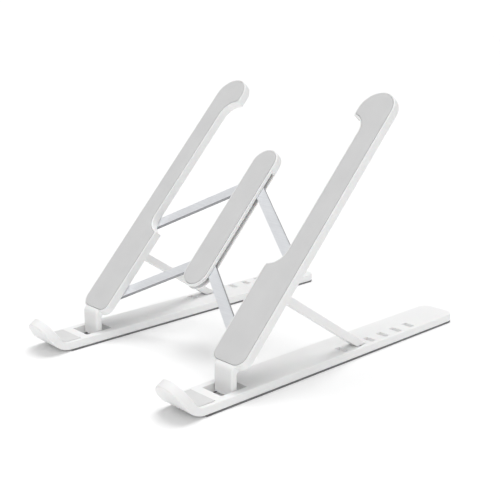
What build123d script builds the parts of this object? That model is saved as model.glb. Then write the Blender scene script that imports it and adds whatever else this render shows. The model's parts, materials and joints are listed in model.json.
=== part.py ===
from build123d import *
import math
import os

# Foldable laptop stand. Millimetres, +Z up, +X to the user's right, +Y away from the user.
# Two mirrored sides, each a base rail with a hooked front and a sloping arm on a neck hinge,
# are joined by four links to a centre beam, and a strut props each arm on its rail.
# The arms, links and beam all lie in one sloping deck plane. They are drawn flat in the deck
# frame (x across, y up the slope from the neck pin, z out of the deck), then tilted.

# ---- overall layout -------------------------------------------------------------------
OVERALL_LENGTH = 257.6      # hook tip to rear end of a rail
TILT = 47.0                 # slope of the deck above the desk
SIDE_X = 69.1               # centre line of each rail, from the middle of the stand
PIN_Z = 4.2                 # neck pin above the desk

# ---- base rail ------------------------------------------------------------------------
RAIL_WIDTH = 26.8
RAIL_TOP = 6.5
STRIP_THICK = 1.0           # rubber strip under the rail
RAIL_THICK = RAIL_TOP - STRIP_THICK
REAR_RADIUS = 7.0           # rear corners in plan
HOOK_ANGLE = 58.0           # rise of the hook's straight lip
HOOK_INNER_START = 27.4     # inner face starts to rise this far in front of the neck pin
HOOK_INNER_R = 7.3
HOOK_OUTER_START = 25.8
HOOK_OUTER_R = 16.7
HOOK_LIP = 15.2             # straight length of the lip's inner face
HOOK_TIP = 16.0             # length of the lip's half-oval end
OVAL_SPARE = 0.3            # the oval is this much wider than the lip, each side
LIP_SPARE = 1.5             # the lip is drawn this much long, then cut to the oval
EDGE_R = 0.7                # rounding of the rail's long edges
TIP_EDGE_R = 0.6            # rounding of the hook's oval end
OPENING_X = 17.1            # window the neck drops into
OPENING_FRONT = 10.9        # from the neck pin to the window's front edge
OPENING_REAR = 9.3
SLOT_COUNT = 6              # height notches
SLOT_FIRST = 94.7           # first notch, behind the neck pin
SLOT_PITCH = 13.95
SLOT_WIDTH = 8.2
SLOT_LENGTH = 4.7
SLOT_DEPTH = 2.0
STRUT_X = 75.9              # centre line of struts and notches
PAD_REAR = 17.3             # rear edge of the hook pad, in front of the neck pin
PAD_MARGIN = 2.1            # bare edge each side of the hook pad
PAD_SINK = 0.45             # hook pad is let into the rail by this
PAD_THICK = 0.9

# ---- deck heights (z in the deck frame, the neck pin is z = 0) ---------------------------
DECK_PAD = 12.07            # top of the arm pads
DECK_RIM = DECK_PAD - 0.4
DECK_PAD_FLOOR = DECK_PAD - 1.0
ARM_BOTTOM = DECK_PAD - 6.0
ARM_COVER_TOP = ARM_BOTTOM + 1.2
ARM_CAVITY_TOP = DECK_PAD - 2.6
CHANNEL_TOP = DECK_PAD - 2.25
LINK_TOP = DECK_PAD - 6.25
LINK_BOTTOM = LINK_TOP - 2.2
BEAM_PAD = DECK_PAD - 3.6
BEAM_RIM = BEAM_PAD - 0.4
BEAM_PAD_FLOOR = BEAM_PAD - 1.0
BEAM_SKIN_BOTTOM = LINK_TOP + 0.2
BEAM_COVER_TOP = LINK_BOTTOM - 0.15
BEAM_COVER_THICK = 0.8
BEAM_BOTTOM = BEAM_COVER_TOP - BEAM_COVER_THICK

# ---- arm outline ------------------------------------------------------------------------
RIM = 1.0                   # bare rim round every pad
ARM_OUTER_X = 82.8
ARM_INNER_X = 54.85         # inner edge of the wide lower part
ARM_NECKED_X = 65.45        # inner edge of the narrow upper part
ARM_START = 11.9            # lower end, up the slope from the neck pin
ARM_CORNERS = (6.5, 8.5)    # lower corners, inner and outer
NOTCH_R = 11.48             # round seats above the wide part and under the head
NOTCH_X = ARM_NECKED_X - NOTCH_R
NOTCH_Y = 91.4
SEAT_Y = 182.1
ARM_HEAD_Y = 199.6          # centre of the half-round head
LIP_R = 1.4                 # small round where a seat meets an edge
ARM_EDGE_R = 0.6

# ---- neck, struts and pins -----------------------------------------------------------------
NECK_WIDTH = 16.0
NECK_THICK = 4.7
NECK_DROP = 2.2             # the neck reaches this far below its pin
NECK_EDGE_R = 1.4           # its long edges are rounded
NECK_TOE_R = 1.1            # its lower edges
NECK_BROW_Z = 15.4          # where that face meets the rim, above the pin
NECK_BROW_R = 4.0           # its front face bends into the arm's rim
NECK_PIN_R = 1.25
NECK_PIN_HALF = 12.6        # half the pin's length
STRUT_WIDTH = 6.9
STRUT_THICK = 5.0
STRUT_Y = 63.4              # strut hinge, up the slope from the neck pin
STRUT_Z = DECK_PAD - 4.9
STRUT_FALL = 33.9           # slope of a strut below level, at rest
STRUT_PIN_R = 1.0
TOE_BITE = 0.5              # depth of the strut's toe in its notch
TOE_R = 1.1
TOE_Y = 107.6               # toe centre, behind the neck pin
FOOT_GAP = 0.3              # foot face above the rail
CHANNEL_GAP = 0.4           # air each side of a folded strut

# ---- links and beam ---------------------------------------------------------------------
LINK_ARM_X = 68.5           # link pivot in the arm
LINK_BEAM_X = 5.3           # link pivot in the beam
LINK_UPPER_Y = 132.2        # upper pair's pivot in the beam
LINK_LOWER_Y = 69.5
LINK_ANGLE = 36.0           # links below square to the beam, when open
LINK_WIDTH = 7.2
LINK_PIN_R = 1.25
RIVET_HEAD_R = 2.4
RIVET_HEAD = 0.55
RUN_GAP = 0.05              # radial clearance of a running fit
OPEN_GAP = 0.12             # radial clearance at the open pivot of the linkage
GEAR_ROOT_R = 4.3
GEAR_TIP_R = 5.8
GEAR_PITCH = 20.0           # degrees between teeth
BEAM_HALF = 10.8
BEAM_LOW_Y = 62.1           # centre of the beam's lower round end
BEAM_HIGH_Y = 150.2
BEAM_CAP_Y = 144.2          # the beam is solid above this
BEAM_PIN_R = 1.5
BEAM_POST_R = 2.3
BEAM_POSTS = (58.9, 100.9)
COVER_TONGUE_X = 5.0
COVER_TONGUE_Y = 153.0
BEAM_SCREWS = (58.9, 100.9, 149.0)
SCREW_R = 0.9
SCREW_HEAD_R = 1.7
SCREW_LENGTH = 3.4
ARM_SCREWS = ((60.2, 18.2), (60.2, 64.0), (67.4, 64.0))
COVER_X = (56.9, 70.4)      # arm cover, across
COVER_Y = (15.0, 68.0)      # arm cover, along
COVER_GAP = 0.08
SEAM = 0.05                 # clearance round a pad in its recess

HALF_RAIL = RAIL_WIDTH / 2
LINK_LENGTH = (LINK_ARM_X - LINK_BEAM_X) / math.cos(math.radians(LINK_ANGLE))
LINK_RISE = LINK_LENGTH * math.sin(math.radians(LINK_ANGLE))
SIN_H = math.sin(math.radians(HOOK_ANGLE))
COS_H = math.cos(math.radians(HOOK_ANGLE))


def bend(start, level, radius, lip):
    """Points of one face of the hook, side on: bend start, mid-bend, bend end, lip end."""
    half = math.radians(HOOK_ANGLE / 2)
    middle = (-start - radius * math.sin(half), level + radius * (1 - math.cos(half)))
    turn = (-start - radius * SIN_H, level + radius * (1 - COS_H))
    tip = (turn[0] - lip * COS_H, turn[1] + lip * SIN_H)
    return (-start, level), middle, turn, tip


def square_lip(point):
    """Where a line square to the lip, through a point of its inner face, meets the outer face."""
    turn = bend(HOOK_OUTER_START, STRIP_THICK, HOOK_OUTER_R, 0)[2]
    run = (turn[0] - point[0]) * -COS_H + (turn[1] - point[1]) * SIN_H
    return (turn[0] + run * COS_H, turn[1] - run * SIN_H)


INNER_TIP = bend(HOOK_INNER_START, RAIL_TOP, HOOK_INNER_R, HOOK_LIP)[3]
OUTER_TIP = square_lip(INNER_TIP)
REAR_Y = OVERALL_LENGTH + OUTER_TIP[0]
PIN_Y = -OVERALL_LENGTH / 2 - OUTER_TIP[0]


def to_world(part):
    """Move a part drawn in the deck frame to its place above the desk."""
    return Pos(0, PIN_Y, PIN_Z) * Rot(TILT, 0, 0) * part


def to_desk(part):
    """Move a part drawn with the neck pin at y = 0 and the desk at z = 0."""
    return Pos(0, PIN_Y, 0) * part


def mirror_x(part):
    """The left-hand twin of a right-hand part."""
    return mirror(part, about=Plane.YZ)


def slab(face, low, high):
    """A flat face in the deck plane, made solid between two heights."""
    return Pos(0, 0, low) * extrude(face, high - low, dir=(0, 0, 1))


def rod(x, y, radius, low, high):
    """A round bar square to the deck."""
    return Pos(x, y, low) * Cylinder(radius, high - low, align=(Align.CENTER, Align.CENTER, Align.MIN))


def cross_bar(x_low, x_high, y, z, radius):
    """A round bar along x."""
    bar = Cylinder(radius, x_high - x_low, align=(Align.CENTER, Align.CENTER, Align.MIN))
    return Pos(x_low, y, z) * Rot(0, 90, 0) * bar


def side_wall(points, x_low, x_high):
    """A closed outline in the y-z plane, made solid across x."""
    wire = Polyline(*[(0, y, z) for y, z in points], close=True)
    return Pos(x_low, 0, 0) * extrude(make_face(wire), x_high - x_low, dir=(1, 0, 0))


def block(x_low, x_high, y_low, y_high, z_low, z_high):
    """A plain block between six limits."""
    box = Box(x_high - x_low, y_high - y_low, z_high - z_low, align=Align.MIN)
    return Pos(x_low, y_low, z_low) * box


# ---- base: rail, rubber strip, hook pad ----------------------------------------------------

def arc_and_lip(points):
    """Edges of one face of the hook, in the plane x = 0."""
    start, middle, turn, tip = [(0, y, z) for y, z in points]
    return [ThreePointArc(start, middle, turn), Line(turn, tip)]


def join(first, second):
    """A straight edge in the plane x = 0."""
    return Line((0, *first), (0, *second))


def rail_side():
    """Side outline of the rail with its hook."""
    inner = bend(HOOK_INNER_START, RAIL_TOP, HOOK_INNER_R, HOOK_LIP + LIP_SPARE)
    outer = list(bend(HOOK_OUTER_START, STRIP_THICK, HOOK_OUTER_R, 0))
    outer[3] = square_lip(inner[3])
    outline = arc_and_lip(outer) + arc_and_lip(inner)
    outline += [join(outer[3], inner[3]), join(inner[0], (REAR_Y, RAIL_TOP)),
                join((REAR_Y, RAIL_TOP), (REAR_Y, STRIP_THICK)), join((REAR_Y, STRIP_THICK), outer[0])]
    return make_face(Wire(outline))


def pad_side(sink, rise, y_rear, lip):
    """Side outline of a layer that follows the hook's inner face, below and above it."""
    low = bend(HOOK_INNER_START, RAIL_TOP - sink, HOOK_INNER_R + sink, lip + LIP_SPARE)
    high = bend(HOOK_INNER_START, RAIL_TOP + rise, HOOK_INNER_R - rise, lip + LIP_SPARE)
    outline = arc_and_lip(low) + arc_and_lip(high)
    outline += [join(low[3], high[3]), join(high[0], (y_rear, RAIL_TOP + rise)),
                join((y_rear, RAIL_TOP + rise), (y_rear, RAIL_TOP - sink)),
                join((y_rear, RAIL_TOP - sink), low[0])]
    return make_face(Wire(outline))


def tip_cutter(half_width, length, lip):
    """What is cut away to leave a lip with a half-oval end, square to the lip."""
    tip = bend(HOOK_INNER_START, RAIL_TOP, HOOK_INNER_R, lip)[3]
    plane = Plane(origin=(0, *tip), x_dir=(1, 0, 0), z_dir=(0, SIN_H, COS_H))
    oval = Ellipse(half_width + OVAL_SPARE, length)
    corners = Pos(0, length / 2 - LIP_SPARE) * Rectangle(4 * half_width, length + 2 * LIP_SPARE)
    corners -= Pos(0, length) * oval
    return extrude(plane * corners, 2 * RAIL_THICK, both=True)


def neck_window():
    """What is cut from the rail and its strip to let the neck through."""
    return block(-OPENING_X / 2, OPENING_X / 2, -OPENING_FRONT, OPENING_REAR, -1, RAIL_TOP + 1)


def base_rail():
    """Flat rail that turns up into the front hook, with the neck window and height notches."""
    body = Pos(-HALF_RAIL, 0, 0) * extrude(rail_side(), RAIL_WIDTH, dir=(1, 0, 0))
    rear = body.edges().filter_by(Axis.Z).sort_by(Axis.Y)[-2:]
    body = fillet(rear, REAR_RADIUS)
    body = fillet([e for e in body.edges() if on_rim(e)], EDGE_R)
    body -= tip_cutter(HALF_RAIL, HOOK_TIP, HOOK_LIP)
    body = fillet([e for e in body.edges() if e.length > 1.15 * RAIL_WIDTH and (e @ 0.5).Z > RAIL_TOP],
                  TIP_EDGE_R)
    band = pad_side(PAD_SINK, 3.0, -PAD_REAR, HOOK_LIP - PAD_MARGIN)
    half = HALF_RAIL - PAD_MARGIN
    recess = Pos(-half, 0, 0) * extrude(band, 2 * half, dir=(1, 0, 0))
    recess -= tip_cutter(half, HOOK_TIP - PAD_MARGIN, HOOK_LIP - PAD_MARGIN)
    body -= recess
    body -= neck_window()
    offset = STRUT_X - SIDE_X
    for index in range(SLOT_COUNT):
        y = SLOT_FIRST + index * SLOT_PITCH
        body -= block(offset - SLOT_WIDTH / 2, offset + SLOT_WIDTH / 2,
                      y - SLOT_LENGTH / 2, y + SLOT_LENGTH / 2, RAIL_TOP - SLOT_DEPTH, RAIL_TOP + 1)
    body -= cross_bar(-NECK_PIN_HALF, NECK_PIN_HALF, 0, PIN_Z, NECK_PIN_R)
    return Pos(SIDE_X, 0, 0) * body


def on_rim(edge):
    """True for the edges round the rail's upper and lower faces, hook included."""
    start = edge.position_at(0)
    end = edge.position_at(1)
    across = abs(start.Y - end.Y) < 0.01 and abs(start.X - end.X) > RAIL_WIDTH / 2
    square = abs((end - start).normalized().dot(Vector(0, SIN_H, COS_H))) > 0.9
    upright = abs(start.X - end.X) < 0.01 and square
    level = edge.position_at(0.5).Z
    on_flat = abs(level - RAIL_TOP) < 0.01 or abs(level - STRIP_THICK) < 0.01
    return not across and not upright and (on_flat or edge.position_at(0.5).Y < -HOOK_OUTER_START)


def base_strip():
    """Rubber strip that the rail stands on."""
    length = REAR_Y + HOOK_OUTER_START
    face = Pos(SIDE_X, (REAR_Y - HOOK_OUTER_START) / 2) * Rectangle(RAIL_WIDTH, length)
    strip = extrude(face, STRIP_THICK)
    rear = strip.edges().filter_by(Axis.Z).sort_by(Axis.Y)[-2:]
    strip = fillet(rear, REAR_RADIUS)
    return strip - Pos(SIDE_X, 0, 0) * neck_window()


def hook_pad():
    """Silicone pad on the flat and up the lip, where a laptop's front edge rests."""
    lip = HOOK_LIP - PAD_MARGIN - SEAM
    half = HALF_RAIL - PAD_MARGIN - SEAM
    band = pad_side(PAD_SINK, PAD_THICK - PAD_SINK, -PAD_REAR - SEAM, lip)
    pad = Pos(-half, 0, 0) * extrude(band, 2 * half, dir=(1, 0, 0))
    pad -= tip_cutter(half, HOOK_TIP - PAD_MARGIN, lip)
    return Pos(SIDE_X, 0, 0) * pad


def neck_pin():
    """Steel pin through the neck, moulded into both side walls of the rail."""
    return cross_bar(SIDE_X - NECK_PIN_HALF, SIDE_X + NECK_PIN_HALF, 0, PIN_Z, NECK_PIN_R)


# ---- arm: shell, pad, cover, screws, rivets ----------------------------------------------------

def arm_face(inset):
    """Outline of an arm in the deck plane, shrunk by an inset."""
    outer = ARM_OUTER_X - inset
    inner = ARM_INNER_X + inset
    seat = NOTCH_R + inset
    centre = (outer + inner) / 2
    head = (outer - inner) / 2
    low = ARM_START + inset
    wide = Pos(centre, (low + ARM_HEAD_Y) / 2) * Rectangle(outer - inner, ARM_HEAD_Y - low)
    wide += Pos(centre, ARM_HEAD_Y) * Circle(head)
    opening = Pos(NOTCH_X - seat, (NOTCH_Y + SEAT_Y) / 2) * Rectangle(4 * seat, SEAT_Y - NOTCH_Y)
    opening += Pos(NOTCH_X, NOTCH_Y) * Circle(seat)
    opening += Pos(NOTCH_X, SEAT_Y) * Circle(seat)
    face = wide - opening
    for radius, x in zip(ARM_CORNERS, (inner, outer)):
        corner = [v for v in face.vertices() if abs(v.Y - low) < 0.01 and abs(v.X - x) < 0.01]
        face = fillet(corner, radius - inset)
    tips = [v for v in face.vertices() if abs(v.X - inner) < 0.6 and NOTCH_Y - 20 < v.Y < SEAT_Y + 20]
    return fillet(tips, LIP_R - 0.4 * inset)


def neck():
    """Plate from the neck pin up to the lower end of the arm."""
    half = NECK_THICK / 2
    sin_t = math.sin(math.radians(TILT))
    cos_t = math.cos(math.radians(TILT))

    def deck(y, z):
        return (y * cos_t + z * sin_t, z * cos_t - y * sin_t)

    front_top = (ARM_START + 1.2, DECK_RIM)
    outline = [deck(-half, -NECK_DROP), deck(half, -NECK_DROP), deck(half, 12.6),
               (ARM_START + 2.2, ARM_BOTTOM + 0.6), (ARM_START + 2.2, DECK_RIM - 0.3), front_top,
               deck(-half, NECK_BROW_Z)]
    plate = side_wall(outline, SIDE_X - NECK_WIDTH / 2, SIDE_X + NECK_WIDTH / 2)
    level = plate.edges().filter_by(Axis.X).sort_by(lambda e: (e @ 0.5).Y * sin_t + (e @ 0.5).Z * cos_t)
    plate = fillet(level[:2], NECK_TOE_R)
    brow = Vector(SIDE_X, *deck(-half, NECK_BROW_Z))
    level = plate.edges().filter_by(Axis.X).sort_by(lambda e: (e @ 0.5 - brow).length)
    plate = fillet(level[0], NECK_BROW_R)
    upright = Vector(0, sin_t, cos_t)
    rounded = [e for e in plate.edges() if abs((e % 0.5).dot(upright)) > 0.999]
    return fillet(rounded, NECK_EDGE_R)


def arm_shell():
    """Moulded arm with its neck, pad recess, strut channel and link bosses."""
    body = slab(arm_face(0), ARM_BOTTOM, DECK_RIM)
    top = body.faces().sort_by(Axis.Z)[-1]
    body = fillet(top.edges(), ARM_EDGE_R)
    body += neck()
    body -= slab(arm_face(RIM), DECK_PAD_FLOOR, DECK_PAD)
    half = STRUT_WIDTH / 2 + CHANNEL_GAP
    low = STRUT_Y - STRUT_THICK / 2 - 0.6
    high = STRUT_Y + strut_reach() + 0.8
    body -= block(STRUT_X - half, STRUT_X + half, low, high, ARM_BOTTOM - 1, CHANNEL_TOP)
    body -= block(*COVER_X, *COVER_Y, ARM_BOTTOM - 1, ARM_COVER_TOP)
    wall = 1.2
    cavity = block(COVER_X[0] + wall, COVER_X[1] - wall, COVER_Y[0] + wall, COVER_Y[1] - wall,
                   ARM_BOTTOM, ARM_CAVITY_TOP)
    for x, y in ARM_SCREWS:
        cavity -= rod(x, y, 2.2, ARM_BOTTOM, DECK_PAD)
    cavity -= rod(LINK_ARM_X, LINK_LOWER_Y - LINK_RISE, 3.1, ARM_BOTTOM, DECK_PAD)
    body -= cavity
    body += rod(LINK_ARM_X, LINK_LOWER_Y - LINK_RISE, 3.1, ARM_BOTTOM, ARM_CAVITY_TOP)
    for x, y in ARM_SCREWS:
        body -= rod(x, y, SCREW_R, ARM_BOTTOM - 1, ARM_BOTTOM + SCREW_LENGTH)
    for y in (LINK_UPPER_Y - LINK_RISE, LINK_LOWER_Y - LINK_RISE):
        body -= rod(LINK_ARM_X, y, LINK_PIN_R, ARM_BOTTOM - 1, ARM_BOTTOM + 3.2)
    body -= cross_bar(SIDE_X - NECK_WIDTH, SIDE_X + NECK_WIDTH, 0, 0, NECK_PIN_R + RUN_GAP)
    body -= cross_bar(*strut_pin_span(), STRUT_Y, STRUT_Z, STRUT_PIN_R)
    return body


def arm_pad():
    """Silicone pad in the arm's recess."""
    pad = slab(arm_face(RIM + SEAM), DECK_PAD_FLOOR, DECK_PAD)
    return fillet(pad.faces().sort_by(Axis.Z)[-1].edges(), 0.3)


def countersink(x, y, base):
    """Seat of a small flush screw whose head faces down from a height."""
    return Pos(x, y, base) * Cone(SCREW_HEAD_R, SCREW_R, SCREW_HEAD_R - SCREW_R,
                                  align=(Align.CENTER, Align.CENTER, Align.MIN))


def screw(x, y, base, length):
    """Small flush screw with a cross recess, head down."""
    part = rod(x, y, SCREW_R, base, base + length) + countersink(x, y, base)
    for turn in (0, 90):
        slot = Pos(x, y, base) * Rot(0, 0, turn) * Box(2.0, 0.45, 0.8)
        part -= slot
    return part


def arm_cover():
    """Flat plate that closes the arm from below."""
    plate = block(COVER_X[0] + COVER_GAP, COVER_X[1] - COVER_GAP, COVER_Y[0] + COVER_GAP,
                  COVER_Y[1] - COVER_GAP, ARM_BOTTOM, ARM_COVER_TOP)
    plate = fillet(plate.edges().filter_by(Axis.Z), 0.6)
    plate -= rod(LINK_ARM_X, LINK_LOWER_Y - LINK_RISE, 3.1 + COVER_GAP, ARM_BOTTOM - 1, DECK_PAD)
    for x, y in ARM_SCREWS:
        plate -= rod(x, y, SCREW_R, ARM_BOTTOM - 1, DECK_PAD) + countersink(x, y, ARM_BOTTOM)
    return plate


def arm_screws():
    """The three flush screws of the arm cover."""
    return Compound([screw(x, y, ARM_BOTTOM, SCREW_LENGTH) for x, y in ARM_SCREWS])


def link_rivets():
    """The two headed rivets that carry the links under the arm."""
    rivets = []
    for y in (LINK_UPPER_Y - LINK_RISE, LINK_LOWER_Y - LINK_RISE):
        low = LINK_BOTTOM - 0.1 - RIVET_HEAD
        head = rod(LINK_ARM_X, y, RIVET_HEAD_R, low, low + RIVET_HEAD)
        head = fillet(head.faces().sort_by(Axis.Z)[0].edges(), 0.3)
        rivets.append(head + rod(LINK_ARM_X, y, LINK_PIN_R, low, ARM_BOTTOM + 3.2))
    return Compound(rivets)


# ---- strut -------------------------------------------------------------------------------

def toe_place():
    """Centre of the strut's toe in the desk frame, and the strut hinge there too."""
    sin_t = math.sin(math.radians(TILT))
    cos_t = math.cos(math.radians(TILT))
    hinge = (STRUT_Y * cos_t - STRUT_Z * sin_t, STRUT_Y * sin_t + STRUT_Z * cos_t + PIN_Z)
    return hinge, (TOE_Y, RAIL_TOP - TOE_BITE + TOE_R)


def strut_reach():
    """Length of the strut from its hinge to the back of its foot, along the strut."""
    hinge, _ = toe_place()
    fall = math.radians(STRUT_FALL)
    drop = hinge[1] - RAIL_TOP - FOOT_GAP
    return drop / math.sin(fall) + STRUT_THICK / 2 / math.tan(fall)


def strut():
    """Bar from the arm down to its toe in a height notch, in the desk frame."""
    hinge, toe = toe_place()
    fall = math.radians(STRUT_FALL)
    along = (math.cos(fall), -math.sin(fall))
    up = (math.sin(fall), math.cos(fall))
    half = STRUT_THICK / 2
    foot = RAIL_TOP + FOOT_GAP

    def end(offset):
        y0 = hinge[0] + offset * up[0]
        z0 = hinge[1] + offset * up[1]
        run = (z0 - foot) / -along[1]
        return (y0 + run * along[0], foot)

    outline = [(hinge[0] - half * up[0], hinge[1] - half * up[1]), end(-half), end(half),
               (hinge[0] + half * up[0], hinge[1] + half * up[1])]
    low = STRUT_X - STRUT_WIDTH / 2
    high = STRUT_X + STRUT_WIDTH / 2
    bar = side_wall(outline, low, high)
    bar += cross_bar(low, high, hinge[0], hinge[1], half)
    bar += cross_bar(low, high, toe[0], toe[1], TOE_R)
    bar -= cross_bar(low - 1, high + 1, hinge[0], hinge[1], STRUT_PIN_R + RUN_GAP)
    return bar


def strut_pin_span():
    """Both ends of the strut pin, across."""
    reach = STRUT_WIDTH / 2 + CHANNEL_GAP + 1.2
    return (STRUT_X - reach, STRUT_X + reach)


def strut_pin():
    """Steel pin of the strut hinge, held in the arm."""
    return cross_bar(*strut_pin_span(), STRUT_Y, STRUT_Z, STRUT_PIN_R)


# ---- links ------------------------------------------------------------------------------

def tooth(angle):
    """One gear tooth, pointing away from the pivot at an angle."""
    root_half = 0.56
    tip_half = 0.27
    wedge = Polyline((GEAR_ROOT_R - 0.5, -root_half), (GEAR_TIP_R, -tip_half), (GEAR_TIP_R, tip_half),
                     (GEAR_ROOT_R - 0.5, root_half), close=True)
    return Rot(0, 0, angle) * make_face(wedge)


def gear_sector(first, count):
    """Toothed sector on the beam end of a right-hand link."""
    face = Sketch() + Circle(LINK_WIDTH / 2)
    span = GEAR_PITCH * count
    start = first - GEAR_PITCH / 2
    fan = [(0, 0)]
    for step in range(13):
        angle = math.radians(start + span * step / 12)
        fan.append((8 * math.cos(angle), 8 * math.sin(angle)))
    face += Circle(GEAR_ROOT_R) & make_face(Polyline(*fan, close=True))
    for index in range(count):
        face += tooth(first + index * GEAR_PITCH)
    return face


def link(beam_y, first_tooth, tooth_count, arm_gap):
    """Right-hand link: flat bar from its geared pivot in the beam to its pivot in the arm."""
    angle = -LINK_ANGLE
    bar = Pos(LINK_LENGTH / 2, 0) * Rectangle(LINK_LENGTH, LINK_WIDTH)
    bar += Pos(LINK_LENGTH, 0) * Circle(LINK_WIDTH / 2)
    face = Pos(LINK_BEAM_X, beam_y) * (Rot(0, 0, angle) * bar + gear_sector(first_tooth, tooth_count))
    part = slab(face, LINK_BOTTOM, LINK_TOP)
    part -= rod(LINK_BEAM_X, beam_y, BEAM_PIN_R + RUN_GAP, LINK_BOTTOM - 1, LINK_TOP + 1)
    part -= rod(LINK_ARM_X, beam_y - LINK_RISE, LINK_PIN_R + arm_gap, LINK_BOTTOM - 1, LINK_TOP + 1)
    return part


# ---- beam --------------------------------------------------------------------------------

def beam_face(half):
    """Round-ended outline of the centre beam."""
    face = Pos(0, (BEAM_LOW_Y + BEAM_HIGH_Y) / 2) * Rectangle(2 * half, BEAM_HIGH_Y - BEAM_LOW_Y)
    face += Pos(0, BEAM_LOW_Y) * Circle(half)
    face += Pos(0, BEAM_HIGH_Y) * Circle(half)
    return face


def cover_face(gap):
    """Outline of the beam's lower plate: the beam's lower end and a tongue under its cap."""
    below = Pos(0, BEAM_CAP_Y - 100) * Rectangle(60, 200)
    face = beam_face(BEAM_HALF) & below
    face += Pos(0, (BEAM_CAP_Y + COVER_TONGUE_Y) / 2 - 1) * Rectangle(
        2 * (COVER_TONGUE_X - gap), COVER_TONGUE_Y - BEAM_CAP_Y + 2 - 2 * gap)
    return face


def beam_pivots():
    """Every link pivot in the beam."""
    return [(side * LINK_BEAM_X, y) for side in (-1, 1) for y in (LINK_LOWER_Y, LINK_UPPER_Y)]


def beam_shell():
    """Upper shell of the beam, with its solid upper end and the posts between the links."""
    body = slab(beam_face(BEAM_HALF), BEAM_SKIN_BOTTOM, BEAM_RIM)
    above = Pos(0, BEAM_CAP_Y + 50) * Rectangle(60, 100)
    body += slab(beam_face(BEAM_HALF) & above, BEAM_BOTTOM, BEAM_RIM)
    body = fillet(body.faces().sort_by(Axis.Z)[-1].edges(), ARM_EDGE_R)
    body -= slab(beam_face(BEAM_HALF - RIM), BEAM_PAD_FLOOR, BEAM_PAD)
    tongue = block(-COVER_TONGUE_X, COVER_TONGUE_X, BEAM_CAP_Y - 1, COVER_TONGUE_Y,
                   BEAM_BOTTOM - 1, BEAM_COVER_TOP)
    body -= tongue
    for y in BEAM_POSTS:
        body += rod(0, y, BEAM_POST_R, BEAM_COVER_TOP, BEAM_SKIN_BOTTOM)
    for y in BEAM_SCREWS:
        body -= rod(0, y, SCREW_R, BEAM_BOTTOM, BEAM_BOTTOM + SCREW_LENGTH)
    for x, y in beam_pivots():
        body -= rod(x, y, BEAM_PIN_R, BEAM_SKIN_BOTTOM - 1, BEAM_SKIN_BOTTOM + 1.0)
    return body


def beam_pad():
    """Silicone pad on the beam."""
    pad = slab(beam_face(BEAM_HALF - RIM - SEAM), BEAM_PAD_FLOOR, BEAM_PAD)
    return fillet(pad.faces().sort_by(Axis.Z)[-1].edges(), 0.3)


def beam_cover():
    """Thin plate under the links."""
    plate = slab(cover_face(COVER_GAP), BEAM_BOTTOM, BEAM_COVER_TOP)
    for x, y in beam_pivots():
        plate -= rod(x, y, BEAM_PIN_R, BEAM_BOTTOM - 1, BEAM_COVER_TOP + 1)
    for y in BEAM_SCREWS:
        plate -= rod(0, y, SCREW_R, BEAM_BOTTOM - 1, BEAM_RIM) + countersink(0, y, BEAM_BOTTOM)
    return plate


def beam_pins():
    """The four link pivots."""
    return Compound([rod(x, y, BEAM_PIN_R, BEAM_BOTTOM, BEAM_SKIN_BOTTOM + 1.0) for x, y in beam_pivots()])


def beam_screws():
    """The three flush screws of the beam cover."""
    return Compound([screw(0, y, BEAM_BOTTOM, SCREW_LENGTH) for y in BEAM_SCREWS])


# ---- write every node ------------------------------------------------------------------------

os.makedirs("parts", exist_ok=True)

side_nodes = {
    "base_rail": to_desk(base_rail()),
    "base_strip": to_desk(base_strip()),
    "hook_pad": to_desk(hook_pad()),
    "neck_pin": to_desk(neck_pin()),
    "strut": to_desk(strut()),
    "arm_shell": to_world(arm_shell()),
    "arm_pad": to_world(arm_pad()),
    "arm_cover": to_world(arm_cover()),
    "arm_screws": to_world(arm_screws()),
    "link_rivets": to_world(link_rivets()),
    "strut_pin": to_world(strut_pin()),
}
nodes = {
    "beam_shell": to_world(beam_shell()),
    "beam_pad": to_world(beam_pad()),
    "beam_cover": to_world(beam_cover()),
    "beam_pins": to_world(beam_pins()),
    "beam_screws": to_world(beam_screws()),
}
for name, part in side_nodes.items():
    nodes["right_" + name] = part
    nodes["left_" + name] = mirror_x(part)

# Right-hand teeth stand at the line of centres and left-hand gaps do, so the pairs mesh.
TEETH = 5
for level, beam_y, gap in (("upper", LINK_UPPER_Y, RUN_GAP), ("lower", LINK_LOWER_Y, OPEN_GAP)):
    right = link(beam_y, 180 - GEAR_PITCH, TEETH, gap)
    left = link(beam_y, 180 - 1.5 * GEAR_PITCH, TEETH, gap)
    nodes["right_%s_link" % level] = to_world(right)
    nodes["left_%s_link" % level] = mirror_x(to_world(left))

for name, part in nodes.items():
    export_step(part, "parts/%s.step" % name)
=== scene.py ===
import json
import math

import bmesh
import bpy
from mathutils import Matrix, Vector


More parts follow.
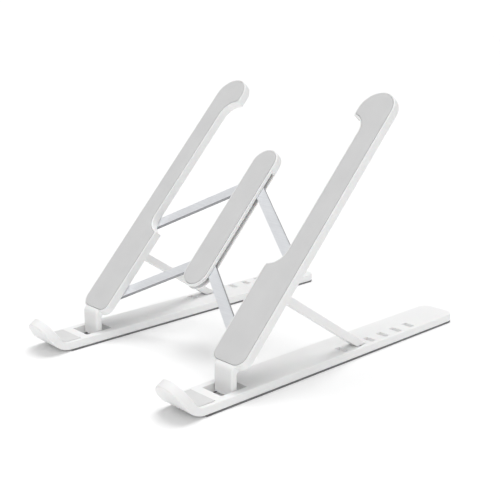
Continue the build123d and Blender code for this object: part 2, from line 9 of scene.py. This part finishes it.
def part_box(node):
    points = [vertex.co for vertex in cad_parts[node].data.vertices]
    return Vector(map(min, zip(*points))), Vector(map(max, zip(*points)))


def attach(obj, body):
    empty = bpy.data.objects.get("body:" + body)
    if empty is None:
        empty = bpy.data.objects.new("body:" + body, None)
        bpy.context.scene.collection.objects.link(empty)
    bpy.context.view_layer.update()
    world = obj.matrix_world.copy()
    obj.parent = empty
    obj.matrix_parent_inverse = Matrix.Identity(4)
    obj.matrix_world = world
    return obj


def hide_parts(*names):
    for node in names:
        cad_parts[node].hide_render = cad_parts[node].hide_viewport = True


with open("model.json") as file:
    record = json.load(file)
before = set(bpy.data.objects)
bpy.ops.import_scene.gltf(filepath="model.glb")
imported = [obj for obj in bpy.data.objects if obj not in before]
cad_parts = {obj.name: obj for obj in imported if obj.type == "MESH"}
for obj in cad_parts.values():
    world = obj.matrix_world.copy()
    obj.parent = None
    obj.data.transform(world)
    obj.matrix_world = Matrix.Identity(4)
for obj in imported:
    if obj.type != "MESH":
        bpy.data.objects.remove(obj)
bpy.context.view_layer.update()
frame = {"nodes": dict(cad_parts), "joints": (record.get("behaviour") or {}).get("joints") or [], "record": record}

# ---- layout, in metres and degrees --------------------------------------------------------
MM = 0.001
TILT = math.radians(47.0)          # slope of the deck that arms, links and beam lie in
joints = {j["name"]: j for j in frame["joints"]}
NECK = Vector(joints["right_tilt"]["pos_m"])
DECK = Matrix.Translation((0, NECK.y, NECK.z)) @ Matrix.Rotation(TILT, 4, "X")
SIDE_X = NECK.x


# ---- materials ----------------------------------------------------------------------------

class Nodes:
    """A small helper that adds shader nodes and links them."""

    def __init__(self, name):
        self.material = bpy.data.materials.new(name)
        self.material.use_nodes = True
        self.tree = self.material.node_tree
        self.shader = self.tree.nodes["Principled BSDF"]
        self.coords = self.add("ShaderNodeTexCoord").outputs["Object"]

    def add(self, kind, **inputs):
        node = self.tree.nodes.new(kind)
        for key, value in inputs.items():
            name = key.replace("_", " ")
            if name in node.inputs:
                node.inputs[name].default_value = value
            else:
                setattr(node, key, value)
        return node

    def link(self, a, b):
        self.tree.links.new(a, b)

    def noise(self, scale, detail=2.0, roughness=0.5, stretch=None):
        texture = self.add("ShaderNodeTexNoise", Scale=scale, Detail=detail, Roughness=roughness)
        source = self.coords
        if stretch:
            mapping = self.add("ShaderNodeMapping")
            mapping.inputs["Rotation"].default_value = stretch[0]
            mapping.inputs["Scale"].default_value = stretch[1]
            self.link(self.coords, mapping.inputs["Vector"])
            source = mapping.outputs["Vector"]
        self.link(source, texture.inputs["Vector"])
        return texture.outputs["Fac"]

    def voronoi(self, scale):
        texture = self.add("ShaderNodeTexVoronoi", Scale=scale)
        self.link(self.coords, texture.inputs["Vector"])
        return texture.outputs["Distance"]

    def ramp(self, source, low, high, start=0.3, end=0.7):
        """Colour that runs from low to high as a texture runs from start to end."""
        node = self.add("ShaderNodeValToRGB")
        node.color_ramp.elements[0].position = start
        node.color_ramp.elements[0].color = (*low, 1)
        node.color_ramp.elements[1].position = end
        node.color_ramp.elements[1].color = (*high, 1)
        self.link(source, node.inputs["Fac"])
        return node.outputs["Color"]

    def span(self, source, low, high):
        """A number that runs from low to high with a texture."""
        node = self.add("ShaderNodeMapRange")
        node.inputs["From Min"].default_value = 0.3
        node.inputs["From Max"].default_value = 0.7
        node.inputs["To Min"].default_value = low
        node.inputs["To Max"].default_value = high
        self.link(source, node.inputs["Value"])
        return node.outputs["Result"]

    def bump(self, source, strength, distance, below=None):
        node = self.add("ShaderNodeBump", Strength=strength, Distance=distance)
        self.link(source, node.inputs["Height"])
        if below is not None:
            self.link(below, node.inputs["Normal"])
        return node.outputs["Normal"]

    def finish(self, color=None, roughness=None, normal=None, **sockets):
        if color is not None:
            self.link(color, self.shader.inputs["Base Color"])
        if roughness is not None:
            self.link(roughness, self.shader.inputs["Roughness"])
        if normal is not None:
            self.link(normal, self.shader.inputs["Normal"])
        for key, value in sockets.items():
            self.shader.inputs[key.replace("_", " ")].default_value = value
        return self.material


def white_plastic():
    """Satin white ABS: a fine spark-eroded grain with a very slight drift in shade."""
    n = Nodes("white_plastic")
    color = n.ramp(n.noise(38, 3), (0.85, 0.852, 0.85), (0.88, 0.881, 0.878))
    roughness = n.span(n.noise(160, 3), 0.36, 0.46)
    grain = n.bump(n.noise(2600, 3), 0.10, 0.00006)
    normal = n.bump(n.noise(30, 2), 0.05, 0.0006, grain)
    return n.finish(color, roughness, normal, Specular_IOR_Level=0.45, Subsurface_Weight=0.04,
                    Subsurface_Scale=0.002)


def silicone(name, low, high, sheen):
    """Matte silicone skin with a pebbled grain and a soft, slightly dusty bloom."""
    n = Nodes(name)
    color = n.ramp(n.noise(55, 4), low, high)
    roughness = n.span(n.noise(240, 2), 0.56, 0.68)
    pebbles = n.bump(n.voronoi(1500), 0.16, 0.00008)
    normal = n.bump(n.noise(60, 2), 0.06, 0.0004, pebbles)
    return n.finish(color, roughness, normal, Specular_IOR_Level=0.35, Sheen_Weight=sheen,
                    Sheen_Roughness=0.6)


def base_rubber():
    """Dark grey rubber strip with scuffs and dust."""
    n = Nodes("base_rubber")
    color = n.ramp(n.noise(90, 4), (0.15, 0.15, 0.155), (0.20, 0.20, 0.205))
    roughness = n.span(n.noise(200, 3), 0.62, 0.8)
    normal = n.bump(n.noise(900, 3), 0.3, 0.0002)
    return n.finish(color, roughness, normal, Specular_IOR_Level=0.3)


def brushed(name, low, high, heading, rough, coarse, metallic):
    """Metal with fine streaks along one heading in the deck."""
    n = Nodes(name)
    turn = (-TILT, 0, 0)
    streaks = n.noise(coarse, 3, 0.6, (turn, heading))
    color = n.ramp(streaks, low, high)
    roughness = n.span(streaks, *rough)
    normal = n.bump(streaks, 0.12, 0.00008)
    return n.finish(color, roughness, normal, Metallic=metallic, Anisotropic=0.3)


def floor_paper():
    """Seamless pale paper."""
    n = Nodes("floor_paper")
    color = n.ramp(n.noise(6, 2), (0.95, 0.95, 0.95), (0.965, 0.965, 0.965))
    normal = n.bump(n.noise(700, 3), 0.05, 0.0002)
    return n.finish(color, None, normal, Roughness=0.9, Specular_IOR_Level=0.1)


PLASTIC = white_plastic()
ARM_SILICONE = silicone("arm_silicone", (0.60, 0.60, 0.602), (0.63, 0.63, 0.63), 0.1)
HOOK_SILICONE = silicone("hook_silicone", (0.66, 0.66, 0.66), (0.70, 0.70, 0.698), 0.05)
RUBBER = base_rubber()
ALUMINIUM = brushed("aluminium", (0.84, 0.855, 0.885), (0.90, 0.915, 0.94), (1, 26, 26), (0.3, 0.42),
                    60, 0.45)
# Much darker copy of the aluminium for the links' side faces: its darkness is painted shade, not a different
# metal.
LINK_SIDE_PAINTED_SHADE = brushed("aluminium_side_painted_shade", (0.32, 0.325, 0.34), (0.40, 0.405, 0.42), (1, 9, 9), (0.34, 0.46),
                   120, 0.6)
STEEL = brushed("steel", (0.52, 0.52, 0.53), (0.66, 0.66, 0.67), (1, 1, 1), (0.25, 0.38), 900, 1.0)
BY_SLOT = {
    "white_plastic": PLASTIC, "arm_silicone": ARM_SILICONE, "hook_silicone": HOOK_SILICONE,
    "base_rubber": RUBBER, "aluminium": ALUMINIUM, "steel": STEEL,
}
slots = {s["node"]: s["material_slot"] for s in frame["record"]["subparts"]}


def paint_shade_on_link_sides(node):
    """A link is stamped from plate: its faces are brushed, and its cut side faces get a much darker aluminium,
    which is painted shade for the sides that turn away from the light.
    """
    deck_normal = DECK.to_3x3() @ Vector((0, 0, 1))
    node.data.materials.append(LINK_SIDE_PAINTED_SHADE)
    for face in node.data.polygons:
        if abs(face.normal.dot(deck_normal)) < 0.5:
            face.material_index = len(node.data.materials) - 1


for name, node in frame["nodes"].items():
    for place in node.material_slots:
        place.material = BY_SLOT[slots[name]]
    # The links' side faces take the darker aluminium, which is painted shade.
    if name.endswith("_link"):
        paint_shade_on_link_sides(node)


# ---- silicone pads -------------------------------------------------------------------------

def skin(name, rings, body, material, nodes):
    """A closed pad from rings of points, lowest ring first, capped at both ends."""
    mesh = bmesh.new()
    loops = [[mesh.verts.new(p) for p in ring] for ring in rings]
    count = len(loops[0])
    for low, high in zip(loops, loops[1:]):
        for i in range(count):
            j = (i + 1) % count
            mesh.faces.new((low[i], low[j], high[j], high[i]))
    mesh.faces.new(list(reversed(loops[0])))
    mesh.faces.new(loops[-1])
    return finish_skin(mesh, name, body, material, nodes)


def finish_skin(mesh, name, body, material, nodes):
    """Turn a closed mesh into a soft piece that stands for some CAD nodes."""
    bmesh.ops.recalc_face_normals(mesh, faces=mesh.faces)
    data = bpy.data.meshes.new(name)
    mesh.to_mesh(data)
    mesh.free()
    data.polygons.foreach_set("use_smooth", [True] * len(data.polygons))
    data.materials.append(material)
    piece = bpy.data.objects.new(name, data)
    bpy.context.scene.collection.objects.link(piece)
    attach(piece, body)
    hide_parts(*nodes)
    return piece


def arc(cx, cy, radius, start, end, steps):
    """Points round a circle, angles in degrees."""
    angles = [math.radians(start + (end - start) * i / steps) for i in range(steps + 1)]
    return [(cx + radius * math.cos(a), cy + radius * math.sin(a)) for a in angles]


def inset(points, distance):
    """A closed outline, run anticlockwise, moved inwards."""
    moved = []
    count = len(points)
    for i, (x, y) in enumerate(points):
        px, py = points[i - 1]
        nx, ny = points[(i + 1) % count]
        ax, ay = x - px, y - py
        bx, by = nx - x, ny - y
        la, lb = math.hypot(ax, ay), math.hypot(bx, by)
        ux, uy = -ay / la - by / lb, ax / la + bx / lb
        scale = 2 / max(ux * ux + uy * uy, 0.4)
        moved.append((x + ux * scale * distance, y + uy * scale * distance))
    return moved


# Height below the pad's top against distance in from its edge: a moulded, rolled edge.
ROLL = ((0.0, 0.52), (0.02, 0.34), (0.08, 0.2), (0.18, 0.1), (0.32, 0.035), (0.5, 0.008), (0.7, 0.0))
GROOVE = 0.2                 # gap between a pad and the rim round it, in mm


def deck_pad(name, outline, top, floor, body, side=1):
    """A pad lying in the deck, from its outline in mm and its heights in the deck frame."""
    rings = [[(x, y, floor) for x, y in inset(outline, GROOVE)]]
    rings += [[(x, y, top - drop) for x, y in inset(outline, GROOVE + step)] for step, drop in ROLL]
    placed = [[DECK @ Vector((side * x * MM, y * MM, z * MM)) for x, y, z in ring] for ring in rings]
    return skin(name, placed, body, ARM_SILICONE, [name.replace("_skin", "")])


def deck_point(point):
    """A world point in the deck frame, in mm."""
    return DECK.inverted() @ Vector(point) / MM


def deck_span(node):
    """Lowest and highest corner of a node in the deck frame, in mm."""
    points = [deck_point(v.co) for v in frame["nodes"][node].data.vertices]
    low = Vector([min(p[i] for p in points) for i in range(3)])
    high = Vector([max(p[i] for p in points) for i in range(3)])
    return low, high


def arm_outline():
    """Outline of the right arm's pad in the deck frame, anticlockwise, in mm."""
    low, high = deck_span("right_arm_pad")
    head_r = (high.x - low.x) / 2
    head_x = (high.x + low.x) / 2
    head_y = high.y - head_r
    inner_corner, outer_corner = 5.45, 7.45
    seat = 12.53
    narrow = 66.5
    seat_x = narrow - seat
    notch_y, seat_y = 91.4, 182.1
    lip = 1.0

    def seat_end(direction):
        """Angle on a seat where its lip starts, and the lip's centre height."""
        reach = seat + lip
        run = low.x + lip - seat_x
        return math.degrees(math.acos(run / reach)), direction * math.sqrt(reach ** 2 - run ** 2)

    angle, drop = seat_end(1)
    points = arc(low.x + inner_corner, low.y + inner_corner, inner_corner, 180, 270, 12)
    points += arc(high.x - outer_corner, low.y + outer_corner, outer_corner, 270, 360, 14)
    points += arc(head_x, head_y, head_r, 0, 180, 48)
    # underside of the head: lip, round seat, then the narrow part's inner edge
    points += arc(low.x + lip, seat_y + drop, lip, 180, 180 + angle, 8)
    points += arc(seat_x, seat_y, seat, angle, 0, 22)
    points += arc(seat_x, notch_y, seat, 0, -angle, 22)
    points += arc(low.x + lip, notch_y - drop, lip, 180 - angle, 180, 8)
    clean = [points[0]]
    for p in points[1:]:
        if math.dist(p, clean[-1]) > 0.01:
            clean.append(p)
    return clean


def beam_outline():
    """Outline of the beam's pad in the deck frame, anticlockwise, in mm."""
    low, high = deck_span("beam_pad")
    radius = (high.x - low.x) / 2
    return arc(0, high.y - radius, radius, 0, 180, 40) + arc(0, low.y + radius, radius, 180, 360, 40)


for side, sign in (("right", 1), ("left", -1)):
    low, high = deck_span(side + "_arm_pad")
    deck_pad(side + "_arm_pad_skin", arm_outline(), high.z, low.z, side + "_arm", sign)
low, high = deck_span("beam_pad")
deck_pad("beam_pad_skin", beam_outline(), high.z, low.z, "beam")


# ---- hook pads -----------------------------------------------------------------------------

LIP_RISE = math.radians(58.0)      # slope of the hook's lip
FLAT_RUN = 10.05                   # flat part of a pad, from its rear edge, in mm
BEND_R = 7.75                      # bend of the recess floor that the pad lies on
LIP_RUN = 13.05                    # straight part, up the lip
TIP_LENGTH = 13.9                  # of which this much is half-oval
PAD_RUN = FLAT_RUN + BEND_R * LIP_RISE + LIP_RUN
HOOK_CORNER = 1.8                  # rear corners of the pad
CORNER_STEPS, SIDE_STEPS, OVAL_STEPS = 4, 20, 32
# Inset from the pad's edge against height off its floor: upright side, then a rolled edge.
HOOK_ROLL = ((0.0, 0.0), (0.0, 0.38), (0.04, 0.58), (0.14, 0.74), (0.3, 0.84), (0.55, 0.89), (0.8, 0.9))


def hook_path(run, height):
    """Distance in front of the pad's rear edge and height over its floor, both in mm."""
    if run <= FLAT_RUN:
        return run, height
    turn = BEND_R * LIP_RISE
    angle = min(run - FLAT_RUN, turn) / BEND_R
    beyond = max(run - FLAT_RUN - turn, 0)
    ahead = FLAT_RUN + (BEND_R - height) * math.sin(angle) + beyond * math.cos(angle)
    return ahead, BEND_R - (BEND_R - height) * math.cos(angle) + beyond * math.sin(angle)


def hook_edge(half, shrink):
    """Half width of the pad at stations along its run, shrunk by a distance all round."""
    stations = []
    shoulder = PAD_RUN - TIP_LENGTH
    wide = half - shrink
    corner = HOOK_CORNER
    for i in range(CORNER_STEPS + 1):
        turn = math.radians(90 * i / CORNER_STEPS)
        stations.append((shrink + corner * (1 - math.cos(turn)), wide - corner * (1 - math.sin(turn))))
    for i in range(1, SIDE_STEPS):
        stations.append((corner + shrink + (shoulder - corner - shrink) * i / SIDE_STEPS, wide))
    for i in range(OVAL_STEPS + 1):
        turn = math.radians(90 * i / OVAL_STEPS)
        stations.append((shoulder + (TIP_LENGTH - shrink) * math.sin(turn), wide * math.cos(turn)))
    return stations[:-1], stations[-1][0]


def hook_pad(side, sign):
    """Pad that follows the flat, the bend and the lip, with a rolled edge all round."""
    low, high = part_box(side + "_hook_pad")
    half = (high[0] - low[0]) / 2 / MM
    mesh = bmesh.new()

    def place(across, run, height):
        ahead, up = hook_path(run, height)
        return mesh.verts.new((sign * (SIDE_X + across * MM), high[1] - ahead * MM, low[2] + up * MM))

    def layer(shrink, height):
        stations, tip = hook_edge(half, GROOVE + shrink)
        left = [place(-wide, run, height) for run, wide in stations]
        right = [place(wide, run, height) for run, wide in stations]
        return left, right, place(0, tip, height)

    layers = [layer(shrink, height) for shrink, height in HOOK_ROLL]
    for (left, right, tip), (left_up, right_up, tip_up) in zip(layers, layers[1:]):
        ring = left + [tip] + right[::-1]
        ring_up = left_up + [tip_up] + right_up[::-1]
        for i in range(len(ring)):
            j = (i + 1) % len(ring)
            mesh.faces.new((ring[i], ring[j], ring_up[j], ring_up[i]))
    for left, right, tip in (layers[0], layers[-1]):
        for i in range(len(left) - 1):
            mesh.faces.new((left[i], left[i + 1], right[i + 1], right[i]))
        mesh.faces.new((left[-1], tip, right[-1]))
    finish_skin(mesh, side + "_hook_pad_skin", side + "_base", HOOK_SILICONE,
                [side + "_hook_pad"])


for side, sign in (("right", 1), ("left", -1)):
    hook_pad(side, sign)


# ---- stage, light, camera --------------------------------------------------------------------

FLOOR_HALF = 6.0                   # half the floor's width, in metres
WALL = 1.05                        # brightness of the room seen directly
DOME_LOW = 0.22                    # light from the horizon
DOME_HIGH = 0.6                    # light from overhead
CAMERA_X, CAMERA_AHEAD, CAMERA_Z = 0.43592, 0.32355, 0.22019   # AHEAD is in front of the neck pins
CAMERA_TILT, CAMERA_TURN = 73.72, 47.056
LENS, SENSOR = 64.97, 36


def floor():
    """Wide pale sheet that the stand is on."""
    mesh = bmesh.new()
    bmesh.ops.create_grid(mesh, x_segments=8, y_segments=8, size=FLOOR_HALF)
    data = bpy.data.meshes.new("floor")
    mesh.to_mesh(data)
    mesh.free()
    data.materials.append(floor_paper())
    sheet = bpy.data.objects.new("floor", data)
    bpy.context.scene.collection.objects.link(sheet)
    return sheet


def sun_lamp(name, source, spread, strength):
    """A distant soft box, wide enough to give only soft shadows."""
    data = bpy.data.lights.new(name, "SUN")
    data.angle = math.radians(spread)
    data.energy = strength
    lamp = bpy.data.objects.new(name, data)
    lamp.rotation_euler = Vector(source).to_track_quat("Z", "Y").to_euler()
    bpy.context.scene.collection.objects.link(lamp)
    return lamp


def studio_world():
    """A white room seen directly, and a dimmer dome, brightest overhead, as the light it gives."""
    world = bpy.data.worlds.new("studio")
    bpy.context.scene.world = world
    world.use_nodes = True
    tree = world.node_tree
    dome = tree.nodes["Background"]
    dome.inputs["Color"].default_value = (1, 1, 1, 1)
    wall = tree.nodes.new("ShaderNodeBackground")
    wall.inputs["Color"].default_value = (1, 1, 1, 1)
    wall.inputs["Strength"].default_value = WALL
    coords = tree.nodes.new("ShaderNodeTexCoord")
    split = tree.nodes.new("ShaderNodeSeparateXYZ")
    height = tree.nodes.new("ShaderNodeMapRange")
    height.inputs["From Min"].default_value = -0.1
    height.inputs["From Max"].default_value = 0.9
    height.inputs["To Min"].default_value = DOME_LOW
    height.inputs["To Max"].default_value = DOME_HIGH
    tree.links.new(coords.outputs["Generated"], split.inputs["Vector"])
    tree.links.new(split.outputs["Z"], height.inputs["Value"])
    tree.links.new(height.outputs["Result"], dome.inputs["Strength"])
    path = tree.nodes.new("ShaderNodeLightPath")
    mix = tree.nodes.new("ShaderNodeMixShader")
    tree.links.new(path.outputs["Is Camera Ray"], mix.inputs["Fac"])
    tree.links.new(dome.outputs["Background"], mix.inputs[1])
    tree.links.new(wall.outputs["Background"], mix.inputs[2])
    tree.links.new(mix.outputs["Shader"], tree.nodes["World Output"].inputs["Surface"])


floor()
sun_lamp("overhead", (-0.12, 0.18, 1.0), 38, 1.55)
sun_lamp("right_fill", (1.0, 0.1, 0.45), 50, 0.4)
sun_lamp("front_fill", (0.3, -1.0, 0.35), 60, 0.6)
studio_world()

camera_data = bpy.data.cameras.new("camera")
camera = bpy.data.objects.new("camera", camera_data)
bpy.context.scene.collection.objects.link(camera)
camera.location = (CAMERA_X, NECK.y - CAMERA_AHEAD, CAMERA_Z)
camera.rotation_euler = (math.radians(CAMERA_TILT), 0, math.radians(CAMERA_TURN))
camera_data.lens = LENS
camera_data.sensor_width = SENSOR
camera_data.shift_x = 0.0042
camera_data.shift_y = 0.0412
bpy.context.scene.camera = camera
bpy.context.scene.view_settings.view_transform = "Standard"
